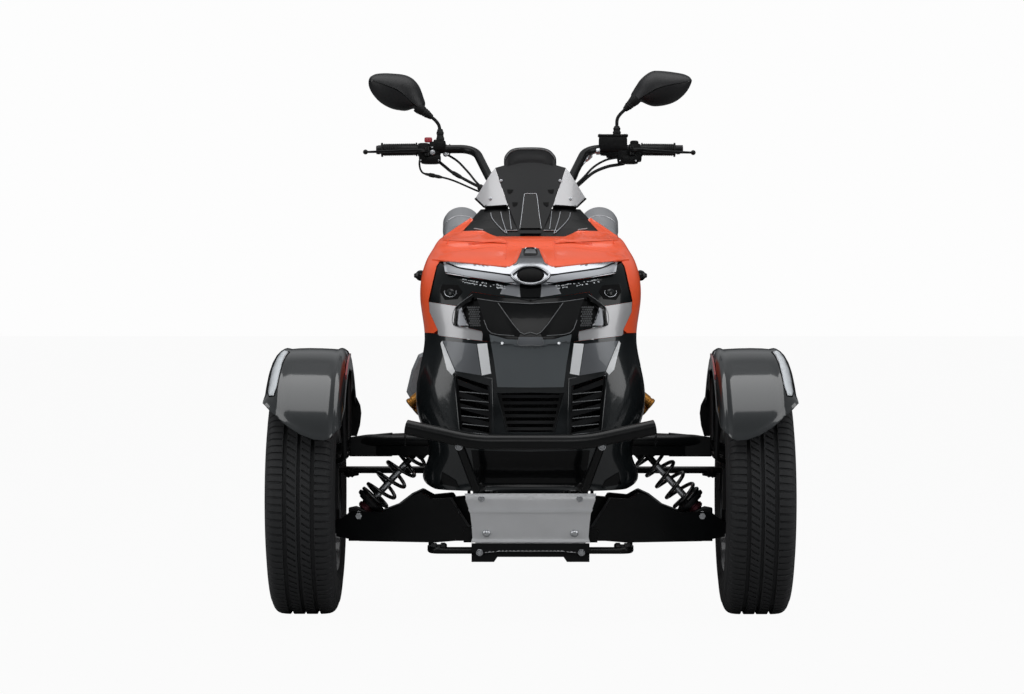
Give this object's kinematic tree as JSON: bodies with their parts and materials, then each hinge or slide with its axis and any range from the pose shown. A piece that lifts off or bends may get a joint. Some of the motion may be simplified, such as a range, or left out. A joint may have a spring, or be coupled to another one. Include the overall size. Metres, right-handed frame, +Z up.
{
  "type": "three-wheeled motorcycle with two front wheels",
  "caption": "Three-wheeled motorcycle with two steered front wheels under arched fenders, one rear wheel, handlebar, screen, seat and raised silencers.",
  "frame": {"origin": "on the ground under the middle of the machine's bounding box", "axes": "-Y to the front, +X to the rider's left, +Z up"},
  "size_m": [1.3044, 2.38, 1.3999],
  "materials": {
    "amber_lens": "smoked indicator",
    "black_gloss": "black gloss",
    "black_plastic": "grained black",
    "black_steel": "black powder coat",
    "cast_black": "black painted casting",
    "chrome": "bright",
    "engine_cast": "dark cast",
    "gold": "bronze anodized",
    "graphite": "dark graphite gloss",
    "grey_cover": "grey cast cover",
    "grip_rubber": "rubber",
    "orange": "orange red gloss",
    "radiator": "black fins",
    "red_lens": "red lens",
    "rim_metal": "black painted cast aluminium",
    "screen": "black panel with grey wings",
    "seat_leather": "black seat cover",
    "shock_metal": "bare rod and black body",
    "silencer_steel": "satin",
    "silver_plastic": "light grey lens panel",
    "silver_plate": "silver painted plate",
    "smoked_lens": "smoked lens",
    "spring_black": "black coated spring",
    "tyre": "matt rubber"
  },
  "bodies": {
    "chassis": {"air_box": "grey_cover", "beak": "black_gloss", "bumper": "black_steel", "control_arms": "black_steel", "cowl": "orange", "dash_panel": "black_plastic", "engine": "engine_cast", "exhaust": "silencer_steel", "final_drive": "black_plastic", "footpegs": "black_steel", "front_subframe": "black_steel", "grille": "black_plastic", "headlamps": "smoked_lens", "indicators": "amber_lens", "instrument": "black_gloss", "lamp_panels": "silver_plastic", "main_frame": "black_steel", "nose_panel": "graphite", "nose_trim": "chrome", "radiator": "radiator", "rear_mudguard": "black_plastic", "screen_wings": "silver_plastic", "seat": "seat_leather", "shock_reservoirs": "gold", "shocks": "shock_metal", "side_fairings": "orange", "skid_plate": "silver_plate", "springs": "spring_black", "stabilizer_bar": "black_steel", "swingarm": "black_steel", "tail_fairing": "graphite", "tail_lamp": "red_lens", "tank_cover": "orange", "windscreen": "screen"},
    "steering": {"handlebar": "black_steel", "bar_controls": "black_plastic", "control_cables": "grip_rubber", "mirrors": "black_plastic"},
    "pitman": {"pitman": "black_steel"},
    "tie_rod_left": {"tie_rod_left": "black_steel"},
    "tie_rod_right": {"tie_rod_right": "black_steel"},
    "knuckle_left": {"knuckle_left": "cast_black", "fender_left": "graphite"},
    "knuckle_right": {"knuckle_right": "cast_black", "fender_right": "graphite"},
    "front_wheel_left": {"front_wheel_left_tyre": "tyre", "front_rim_left": "rim_metal"},
    "front_wheel_right": {"front_wheel_right_tyre": "tyre", "front_rim_right": "rim_metal"},
    "rear_wheel": {"rear_wheel_tyre": "tyre", "rear_rim": "rim_metal"}
  },
  "joints": [
    {"name": "handlebar_turn", "type": "hinge", "parent": "chassis", "child": "steering", "pos_m": [0, -0.82, 0.53], "axis": [0, 0.5878, 0.809], "range_deg": [-31, 31]},
    {"name": "pitman_turn", "type": "hinge", "parent": "chassis", "child": "pitman", "pos_m": [0, -0.82, 0.45], "axis": [0, 0, 1], "range_deg": [-25, 25]},
    {"name": "kingpin_left", "type": "hinge", "parent": "chassis", "child": "knuckle_left", "pos_m": [0.5, -0.82, 0.2935], "axis": [0, 0, 1], "range_deg": [-25, 25]},
    {"name": "tie_rod_end_left", "type": "hinge", "parent": "pitman", "child": "tie_rod_left", "pos_m": [0.016, -0.71, 0.34], "axis": [0, 0, 1], "range_deg": [-25, 25]},
    {"name": "front_wheel_spin_left", "type": "hinge", "parent": "knuckle_left", "child": "front_wheel_left", "pos_m": [0.56, -0.82, 0.2935], "axis": [1, 0, 0], "continuous": true},
    {"name": "kingpin_right", "type": "hinge", "parent": "chassis", "child": "knuckle_right", "pos_m": [-0.5, -0.82, 0.2935], "axis": [0, 0, 1], "range_deg": [-25, 25]},
    {"name": "tie_rod_end_right", "type": "hinge", "parent": "pitman", "child": "tie_rod_right", "pos_m": [-0.016, -0.71, 0.34], "axis": [0, 0, 1], "range_deg": [-25, 25]},
    {"name": "front_wheel_spin_right", "type": "hinge", "parent": "knuckle_right", "child": "front_wheel_right", "pos_m": [-0.56, -0.82, 0.2935], "axis": [1, 0, 0], "continuous": true},
    {"name": "rear_wheel_spin", "type": "hinge", "parent": "chassis", "child": "rear_wheel", "pos_m": [0, 0.84, 0.3035], "axis": [1, 0, 0], "continuous": true}
  ],
  "couplings": [
    {"joint": "pitman_turn", "follows": "handlebar_turn", "ratio": 0.8},
    {"joint": "kingpin_left", "follows": "handlebar_turn", "ratio": 0.8},
    {"joint": "tie_rod_end_left", "follows": "handlebar_turn", "ratio": -0.8},
    {"joint": "kingpin_right", "follows": "handlebar_turn", "ratio": 0.8},
    {"joint": "tie_rod_end_right", "follows": "handlebar_turn", "ratio": -0.8}
  ]
}
